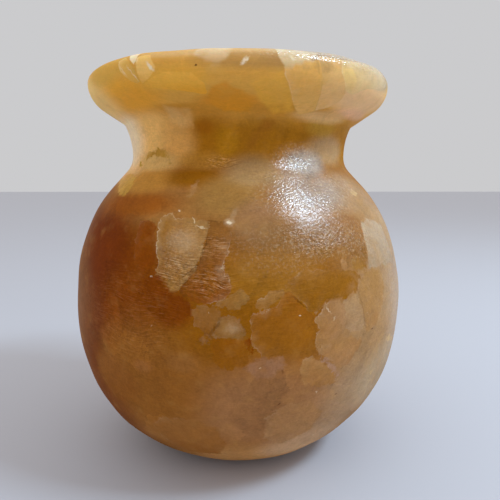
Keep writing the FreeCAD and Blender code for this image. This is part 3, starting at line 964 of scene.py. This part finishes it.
def grains(width, steady, sloping):
    """A mosaic of grains: chance values for each, and a tone around 0, part steady, part sloping."""
    cell = add("TexVoronoi", {"Vector": warped, "Scale": 1 / width}, "F1")
    way = add("VectorMath", (cell.outputs["Color"], MIDDLE), "SUBTRACT")
    offset = add("VectorMath", (warped, cell.outputs["Position"]), "SUBTRACT")
    slope = add("VectorMath", (offset, way), "DOT_PRODUCT").outputs["Value"]
    slope = add("Math", (slope, sloping / width), "MULTIPLY")
    flat = add("SeparateColor", (way,))
    tone = add("Math", (flat, steady, slope), "MULTIPLY_ADD")
    return add("SeparateColor", (cell.outputs["Color"],)).outputs, tone


big_chance, big_tone = grains(GRAIN_WIDTH, steady=0.22, sloping=0.5)
_, small_tone = grains(SMALL_GRAIN_WIDTH, steady=0.10, sloping=0.16)
border = add("TexVoronoi", {"Vector": warped, "Scale": 1 / GRAIN_WIDTH}, "DISTANCE_TO_EDGE")
border = add("MapRange", (border, BORDER_WIDTH / GRAIN_WIDTH, 0.0), "SMOOTHSTEP")
border_tone = add("MapRange", (big_chance[2], 0.0, 1.0, *BORDER_TONE))
border_tone = add("Math", (border, border_tone), "MULTIPLY")
print("grains:", GRAIN_WIDTH, "and", SMALL_GRAIN_WIDTH, "mm wide")

# %% The stone: tones of the block, where no map was drawn
GOLDEN_FROM, GOLDEN_TO, GOLDEN = 55.0, 92.0, 0.26
STAINS = [
    (0.24, "#7a3806"), (0.38, "#8c4e08"), (0.50, "#9a6216"),
    (0.60, "#a87336"), (0.72, "#b98c5a"), (0.88, "#d2a866"),
]
height = add("SeparateXYZ", (place,)).outputs["Z"]
golden = add("MapRange", (height, GOLDEN_FROM, GOLDEN_TO, 0.0, GOLDEN))
block = clouds["block"]
for tone, share in ((golden, 1.0), (big_tone, 0.9), (small_tone, 0.6)):
    block = add("Math", (tone, share, block), "MULTIPLY_ADD")
stain = add("ValToRGB", (block,))
bands = stain.color_ramp.elements
while len(bands) < len(STAINS):
    bands.new(1.0)
for band, (at, paint) in zip(bands, STAINS):
    band.position = at
    band.color = linear(paint)

FIELDS = ["zone", "scratched", "rough", "crinkled", "hollow"]
FIELDS += [f"facet_{i}{part}" for i in (1, 2, 3) for part in ("", "_depth", "_line", "_width")]
field = {name: add("Attribute", option=name).outputs for name in FIELDS}
zone = field["zone"]
mapped = zone["Alpha"]
colour = add("Mix", {MIX_FACTOR: mapped, MIX_A: stain, MIX_B: zone["Color"]}, "RGBA").outputs[MIX_COLOUR]
print("tones of the block:", len(STAINS), "and fields of the map:", len(FIELDS))

# %% [markdown]
# The drawn crystals come next, a layer at a time. A noise shakes the stored distance, so the
# border wanders and frays, and a narrow band where the distance is near zero is the thin line
# of light that a tilted plane throws along its edge, with a soft glow inside it. Each later
# layer hides the lines under it. The rim is clearer stone: its crystals have cleaner edges,
# and all tones of the grains are weaker there.

# %% The stone: drawn crystals
LINE_WIDTH = 0.22
LINE_INSET = 0.6 * LINE_WIDTH
GLOW_WIDTH = 1.9
GLOW = 0.36
CLEAR_FROM, CLEAR_TO, CLEAR = 79.0, 85.0, 0.35
clear = add("MapRange", (height, CLEAR_FROM, CLEAR_TO, 1.0, CLEAR))
fray = clouds["fraying"]
# Taken twice, the share leaves the borders at the rim hardly frayed.
for share in (clear, clear):
    fray = add("Math", (fray, share), "MULTIPLY")
drawn = 0.0
line_light = 0.0
for i in (1, 2, 3):
    width = field[f"facet_{i}_width"]["Fac"]
    outer = add("Math", (width, -1.0), "MULTIPLY")
    depth = add("Math", (field[f"facet_{i}_depth"]["Fac"], fray), "ADD")
    share = add("MapRange", (depth, outer, width), "SMOOTHSTEP")
    cover = add("Math", (share, clouds["patchy cover"]), "MULTIPLY")
    paint = field[f"facet_{i}"]["Color"]
    colour = add("Mix", {MIX_FACTOR: cover, MIX_A: colour, MIX_B: paint}, "RGBA").outputs[MIX_COLOUR]
    near = add("Math", (depth, LINE_INSET), "SUBTRACT")
    near = add("Math", (near,), "ABSOLUTE")
    line = add("MapRange", (near, LINE_WIDTH, 0.0), "SMOOTHSTEP")
    glow = add("MapRange", (depth, GLOW_WIDTH, 0.0, 0.0, GLOW))
    glow = add("Math", (glow, share), "MULTIPLY")
    light = add("Math", (line, glow), "MAXIMUM")
    light = add("Math", (light, field[f"facet_{i}_line"]["Fac"]), "MULTIPLY")
    rest = add("Math", (1.0, share), "SUBTRACT")
    line_light = add("Math", (line_light, rest, light), "MULTIPLY_ADD")
    drawn = add("Math", (drawn, share), "MAXIMUM")
light_line = add("Math", (line_light, 0.0), "MAXIMUM")
dark_line = add("Math", (line_light, 0.0), "MINIMUM")
print("nodes with the drawn crystals:", len(tree.nodes))

# %% [markdown]
# Streaks run straight through a grain and change direction with the next. Turning the
# coordinates by the grain's chance value before a stretched noise gives exactly that.
# Scratches are stretched noise too, but they keep to the way that the sandpaper went: round
# the vase, falling a little to both sides of the front, and never quite straight.

# %% The stone: cleavage streaks and scratches
STREAK_WIDTH = 0.55
STREAK_LENGTH = 9.0
STREAK_AXIS = (0.45, 0.3, 0.84)
STREAK_NOISE = (0.3, 0.7)
STREAK_TONE = 0.04
SCRATCH_WIDTH = 0.2
SCRATCH_LENGTH = 2.3
SCRATCH_SLANT = 0.16
# what the noise of the scratches becomes: noise from and to, value from and to, course
SCRATCHES = {
    "tone": (0.35, 0.68, -0.3, 0.44, "LINEAR"),
    "light": (0.5, 0.72, 0.0, 0.42, "SMOOTHSTEP"),
    "satin": (0.3, 0.7, 0.52, 0.64, "LINEAR"),
}
turn = add("Math", (big_chance[1], 2 * math.pi), "MULTIPLY")
streak = add("VectorRotate", {"Vector": place, "Axis": STREAK_AXIS, "Angle": turn})
stretch = (1 / STREAK_LENGTH, 1 / STREAK_WIDTH, 1 / STREAK_WIDTH)
streak = add("VectorMath", (streak, stretch), "MULTIPLY")
streak = add("TexNoise", {"Vector": streak, "Scale": 1.0, "Detail": 2.0, "Roughness": 0.6})
streak = add("MapRange", (streak, *STREAK_NOISE, -STREAK_TONE, STREAK_TONE))

bent = pushed(place, width=14.0, push=5.0, detail=1.0, roughness=0.5, middle=0.0)
across, deep, up = add("SeparateXYZ", (bent,)).outputs
aside = add("Math", (across,), "ABSOLUTE")
level = add("Math", (aside, -SCRATCH_SLANT, up), "MULTIPLY_ADD")
scratch = add("CombineXYZ", (across, deep, level))
stretch = (1 / SCRATCH_LENGTH, 1 / SCRATCH_LENGTH, 1 / SCRATCH_WIDTH)
scratch = add("VectorMath", (scratch, stretch), "MULTIPLY")
scratch = add("TexNoise", {"Vector": scratch, "Scale": 1.0, "Detail": 4.0, "Roughness": 0.75})
scratches = {}
for name, (*values, course) in SCRATCHES.items():
    scratches[name] = add("MapRange", (scratch, *values), course)
print("scratches give:", list(scratches))

# %% [markdown]
# All tones are added up and multiply the colour. Where a crystal or a zone was drawn, the
# chance grains step back. Scratches and grit are strong only in the worn places.

# %% The stone: all tones together
PLAIN_GRIT = 0.4
CRINKLED_GRIT = 0.9
PLAIN_SCRATCHES = 0.12
DARK_LINES = 1.2
scratched, grainy, crinkled = (field[name]["Fac"] for name in ("scratched", "rough", "crinkled"))
strong = clouds["strong grains"]
for known, plain, told in ((mapped, 1.2, 0.5), (drawn, 1.0, 0.3)):
    kept = add("MapRange", (known, 0.0, 1.0, plain, told))
    strong = add("Math", (strong, kept), "MULTIPLY")
gritty = add("Math", (crinkled, CRINKLED_GRIT, PLAIN_GRIT), "MULTIPLY_ADD")
gritty = add("Math", (gritty, scratched), "ADD")
worn = add("Math", (scratched, PLAIN_SCRATCHES), "ADD")
TONES = [
    (big_tone, strong),
    (small_tone, strong),
    (clouds["wide mottling"], 1.0),
    (clouds["narrow mottling"], 1.0),
    (clouds["grit"], gritty),
    (dark_line, DARK_LINES),
    (streak, 1.0),
]
shade = 0.0
for tone, share in TONES:
    shade = add("Math", (tone, share, shade), "MULTIPLY_ADD")
shade = add("Math", (shade, clear, 1.0), "MULTIPLY_ADD")
for tone, share in ((border_tone, strong), (scratches["tone"], worn)):
    shade = add("Math", (tone, share, shade), "MULTIPLY_ADD")
colour = add("VectorMath", {0: colour, "Scale": shade}, "SCALE")
print("nodes with all tones:", len(tree.nodes))

# %% [markdown]
# Last come the small marks. Glints are painted highlights of tiny broken planes, and milk;
# specks are pits, cracks and seams. These few have places of their own, and more painted
# sparkles are spread by chance.

# %% The stone: glints and specks
# name, angle, height, half length and half width in mm, tilt in degrees (down to the right), strength
# painted highlights, except the two milky ones, which are the stone's milk
GLINTS = [
    ("bright spot on the breast", -3, 60.7, 0.55, 0.5, 0, 0.85),
    ("its glow", -3, 60.8, 1.0, 0.9, 0, 0.24),
    ("its tail", -1.6, 62.2, 1.8, 0.6, -60, 0.09),
    ("top of the pale crystal", -13.9, 61.0, 0.7, 0.16, 60, 0.5),
    ("right corner of the pale crystal", -11.3, 59.8, 1.3, 0.15, 8, 0.42),
    ("milky core of the pale crystal", -17, 57.2, 3.6, 2.2, 10, 0.13),
    ("chip above the pale crystal", -19.5, 62.8, 0.22, 0.18, 0, 0.6),
    ("chip left of the pale crystal", -25.3, 50, 0.3, 0.18, 10, 0.5),
    ("streak in the rim facet", -38.6, 90.6, 1.6, 0.2, 52, 0.35),
    ("second streak in the rim facet", -35.6, 90.6, 1.5, 0.18, 52, 0.4),
    ("third streak in the rim facet", -34, 89.2, 1.0, 0.24, 52, 0.5),
    ("rim glint on the left", -27.6, 90.7, 1.2, 0.45, 48, 0.95),
    ("rim glint in the middle", 1.8, 91, 1.1, 0.42, -45, 0.85),
    ("rim glint in the second patch", 16, 91.7, 0.8, 0.38, 30, 0.6),
    ("chip in the amber", 16, 43, 0.25, 0.2, 0, 0.7),
    ("streak in the greyish crystal", 25, 43.4, 1.0, 0.24, 56, 0.35),
    ("second streak", 26.8, 41.5, 0.5, 0.2, -50, 0.25),
    ("milk in the small pale crystal", -1.6, 40.8, 1.5, 0.9, 0, 0.1),
    ("spark in the rose cloud", 5.6, 32.7, 0.2, 0.18, 0, 0.4),
]
SPECKS = [
    ("pit in the rim", -12.7, 90.4, 0.34, 0.28, 0, 0.95),
    ("dark line on the right", 38, 41.7, 5.0, 0.16, 74, 0.28),
    ("pit on the right", 42.4, 37.5, 0.5, 0.16, 8, 0.8),
    ("pit in the bright patch", 22.5, 63, 0.35, 0.28, 50, 0.7),
    ("pit above it", 22.4, 65.1, 0.3, 0.2, 50, 0.5),
    ("pit low in front", 11.5, 24.2, 0.4, 0.22, 0, 0.7),
    ("second pit low in front", 31, 24, 0.3, 0.2, 0, 0.6),
    ("pit in the rose cloud", 11.8, 31.8, 0.6, 0.3, 60, 0.35),
    ("dark crack under the pale crystal", -14, 51.3, 3.6, 0.16, -40, 0.5),
    ("dark seam right of the pale crystal", -10.2, 55.6, 3.4, 0.15, -75, 0.4),
    ("dark seam by the amber crystal", 16.4, 45.4, 2.6, 0.16, 42, 0.5),
    ("dark seam left of the small pale crystal", -6.1, 41.3, 2.7, 0.45, -60, 0.42),
]
MARK_DEPTH = 3.0
MARK_EDGE = 1.3
MARK_CORE = 0.3
# painted sparkles: the next five sizes spread tiny spots of light by chance
SPARKLE_SPACING = 5.5
SPARKLE_CHANCE = (0.45, 1.0)
SPARKLE_SIZE = 0.045
SPARKLE_EDGE = (-0.012, 0.02)
SPARKLE_LIGHT = 0.35
CRINKLED_SPARKLE = 0.4
shaken = pushed(place, width=0.7, push=1.1, detail=2.0, roughness=0.5, middle=0.5)


def spots(marks):
    """Small marks on the surface, each an ellipse with its own tilt, as one share from 0 to 1."""
    total = 0.0
    for _, angle, up, half_length, half_width, tilt, strength in marks:
        around = math.radians(angle)
        out = float(radius_at(up))
        local = add("Mapping", {
            "Vector": shaken,
            "Location": (out * math.sin(around), -out * math.cos(around), up),
            "Rotation": (0.0, math.radians(tilt), around),
            "Scale": (half_length, MARK_DEPTH, half_width),
        }, "TEXTURE")
        away = add("VectorMath", (local,), "LENGTH").outputs["Value"]
        share = add("MapRange", (away, MARK_EDGE, MARK_CORE, 0.0, strength), "SMOOTHSTEP")
        total = add("Math", (total, share), "MAXIMUM")
    return total


# chip: painted sparkles of light, spread by chance
chip = add("TexVoronoi", {"Vector": shaken, "Scale": 1 / SPARKLE_SPACING}, "F1")
sparkle_size = add("SeparateColor", (chip.outputs["Color"],))
sparkle_size = add("MapRange", (sparkle_size, *SPARKLE_CHANCE, 0.0, SPARKLE_SIZE))
chip = add("Math", (sparkle_size, chip.outputs["Distance"]), "SUBTRACT")
chip = add("MapRange", (chip, *SPARKLE_EDGE, 0.0, SPARKLE_LIGHT), "SMOOTHSTEP")
sharp = add("Math", (scratched, scratched), "MULTIPLY")
# the painted sparkle specks follow the rough and crinkled places
sparkly = add("Math", (crinkled, CRINKLED_SPARKLE, grainy), "MULTIPLY_ADD")
# Pale marks: painted glints and sparkles, painted light on crystal edges, and light sanding scratches.
LIGHTS = [
    (light_line, clouds["broken light"]),
    (clouds["painted sparkle specks"], sparkly),
    (scratches["light"], sharp),
    (chip, 1.0),
]
pale = spots(GLINTS)
for light, share in LIGHTS:
    pale = add("Math", (light, share, pale), "MULTIPLY_ADD")
for share, paint in ((clouds["milk"], "#c8944e"), (pale, "#f4e0bc"), (spots(SPECKS), "#4a2406")):
    colour = add("Mix", {MIX_FACTOR: share, MIX_A: colour, MIX_B: linear(paint)}, "RGBA").outputs[MIX_COLOUR]
print("marks:", len(GLINTS), "glints and", len(SPECKS), "specks")

# %% [markdown]
# The wax is thick only where the stone was left rough, and breaks a highlight into sparks
# there. Elsewhere it was rubbed down to a soft satin gloss. Crinkles have relief without it.

# %% The stone: gloss and relief
SKIN_SIZE = (0.85, 0.85, 0.4)
SKIN_TILT = -24.0
SKIN_DEPTH = (0.012, 0.19)
CRINKLE_DEPTH = 0.2
SCRATCH_DEPTH = (0.03, 0.12)
DULLER_INSIDE = 0.2
WAX = (0.02, 1.0)
tilt = (0.0, math.radians(SKIN_TILT), 0.0)
skin = add("Mapping", {"Vector": place, "Rotation": tilt, "Scale": SKIN_SIZE}, "TEXTURE")
skin = add("TexNoise", {"Vector": skin, "Scale": 1.0, "Detail": 2.0, "Roughness": 0.5})
skin_depth = add("MapRange", (grainy, 0.0, 1.0, *SKIN_DEPTH))
skin_depth = add("Math", (crinkled, CRINKLE_DEPTH, skin_depth), "MULTIPLY_ADD")
scratch_depth = add("MapRange", (scratched, 0.0, 1.0, *SCRATCH_DEPTH))
relief = add("Math", (scratch, scratch_depth), "MULTIPLY")
relief = add("Math", (skin, skin_depth, relief), "MULTIPLY_ADD")
bump = add("Bump", {"Height": relief, "Distance": MM, "Strength": 1.0})
satin = add("Math", (field["hollow"]["Fac"], DULLER_INSIDE, scratches["satin"]), "MULTIPLY_ADD")
wax = add("MapRange", (grainy, 0.0, 1.0, *WAX))
shader = add("BsdfPrincipled", {
    "Base Color": colour,
    "Roughness": satin,
    "Normal": bump,
    "IOR": 1.55,
    "Specular IOR Level": 0.02,
    "Subsurface Weight": 0.3,
    "Subsurface Radius": (1.0, 0.5, 0.2),
    "Subsurface Scale": 3.0 * MM,
    "Coat Weight": wax,
    "Coat Roughness": 0.13,
    "Coat IOR": 1.75,
    "Coat Normal": bump,
})
add("OutputMaterial", {"Surface": shader})
vase_mesh.materials.append(stone)
print("nodes in the stone:", len(tree.nodes))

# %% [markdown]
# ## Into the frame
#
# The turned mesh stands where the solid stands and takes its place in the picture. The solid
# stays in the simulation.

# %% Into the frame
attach(vase, "root")
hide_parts(NODE)
